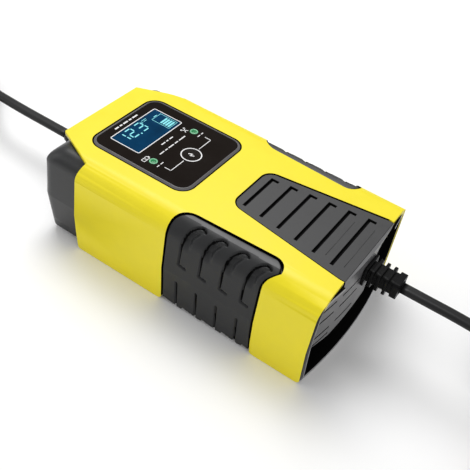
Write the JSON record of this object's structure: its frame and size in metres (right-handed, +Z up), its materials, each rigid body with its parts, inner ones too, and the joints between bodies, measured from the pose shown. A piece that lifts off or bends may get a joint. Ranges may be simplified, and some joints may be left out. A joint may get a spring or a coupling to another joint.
{
  "type": "car battery charger",
  "caption": "Flat-box automatic battery charger with a display panel, louvred front end, ribbed side grips, mains lead with plug and output lead with two battery clamps.",
  "frame": {"origin": "on the surface the body stands on, under the middle of the body's length and width", "axes": "+X along the body towards the louvred front end where the output lead leaves, +Y across the body, +Z up out of the display"},
  "size_m": [0.4682, 0.0966, 0.0485],
  "materials": {
    "cover": "satin moulded ABS",
    "grip": "matt moulded, fine texture",
    "shell": "matt moulded",
    "insert": "satin moulded",
    "rim": "satin moulded",
    "panel_rim": "satin moulded",
    "panel": "glossy film",
    "lcd": "glossy",
    "button": "satin",
    "plunger": "moulded",
    "led": "clear epoxy",
    "board": "solder mask",
    "ribbon": "flexible",
    "ferrite": "sintered ferrite",
    "tape": "polyester tape",
    "copper": "enamelled copper",
    "film_cap": "box film capacitor",
    "can": "sleeved can",
    "chip": "moulded epoxy",
    "fuse_glass": "ceramic tube",
    "alloy": "extruded",
    "wire_brown": "PVC",
    "wire_red": "PVC",
    "wire_black": "PVC",
    "cord": "PVC",
    "tie": "nylon",
    "steel": "zinc plated",
    "nickel": "nickel plated",
    "clamp_red": "moulded",
    "clamp_black": "moulded"
  },
  "bodies": {
    "root": {"yellow_cover": "cover", "inner_shell": "shell", "base_tray": "shell", "rear_cap": "shell", "side_grip_left": "grip", "side_grip_right": "grip", "top_insert": "insert", "front_bezel": "rim", "front_grille": "rim", "display_bezel": "panel_rim", "display_overlay": "panel", "lcd_module": "lcd", "display_board": "board", "tact_switch": "chip", "led_charge": "led", "led_repair": "led", "ribbon_cable": "ribbon", "main_board": "board", "transformer_core": "ferrite", "transformer_winding": "tape", "choke_core": "ferrite", "choke_winding": "copper", "x_capacitor": "film_cap", "bulk_capacitor": "can", "output_capacitors": "can", "bridge_rectifier": "chip", "fuse": "fuse_glass", "power_devices": "chip", "heatsinks": "alloy", "mains_wires": "wire_brown", "dc_wires": "wire_red", "board_screws": "steel", "case_screws": "steel", "rear_gland": "cord", "mains_lead": "cord", "mains_coil": "cord", "mains_tie": "tie", "plug_body": "cord", "plug_pins": "nickel", "front_boot": "cord", "dc_lead": "cord", "dc_coil": "cord", "dc_tie": "tie", "lead_splitter": "cord", "red_lead": "wire_red", "black_lead": "wire_black", "red_clamp_lower": "clamp_red", "red_teeth_lower": "copper", "red_clamp_pin": "steel", "red_clamp_spring": "steel", "black_clamp_lower": "clamp_black", "black_teeth_lower": "copper", "black_clamp_pin": "steel", "black_clamp_spring": "steel"},
    "button": {"repair_button": "button", "switch_plunger": "plunger"},
    "red_jaw": {"red_clamp_upper": "clamp_red", "red_teeth_upper": "copper"},
    "black_jaw": {"black_clamp_upper": "clamp_black", "black_teeth_upper": "copper"}
  },
  "joints": [
    {"name": "button_press", "type": "slide", "parent": "root", "child": "button", "axis": [0, 0, -1], "range_m": [0, 0.0005], "stiffness_N_per_m": 400, "springref_m": -0.0002},
    {"name": "red_clamp_squeeze", "type": "hinge", "parent": "root", "child": "red_jaw", "pos_m": [0.175, -0.0205, 0.0075], "axis": [0, 1, 0], "range_deg": [0, 26], "stiffness_Nm_per_rad": 0.1, "springref_deg": -20.05},
    {"name": "black_clamp_squeeze", "type": "hinge", "parent": "root", "child": "black_jaw", "pos_m": [0.175, -0.0345, 0.0075], "axis": [0, 1, 0], "range_deg": [0, 26], "stiffness_Nm_per_rad": 0.1, "springref_deg": -20.05}
  ]
}
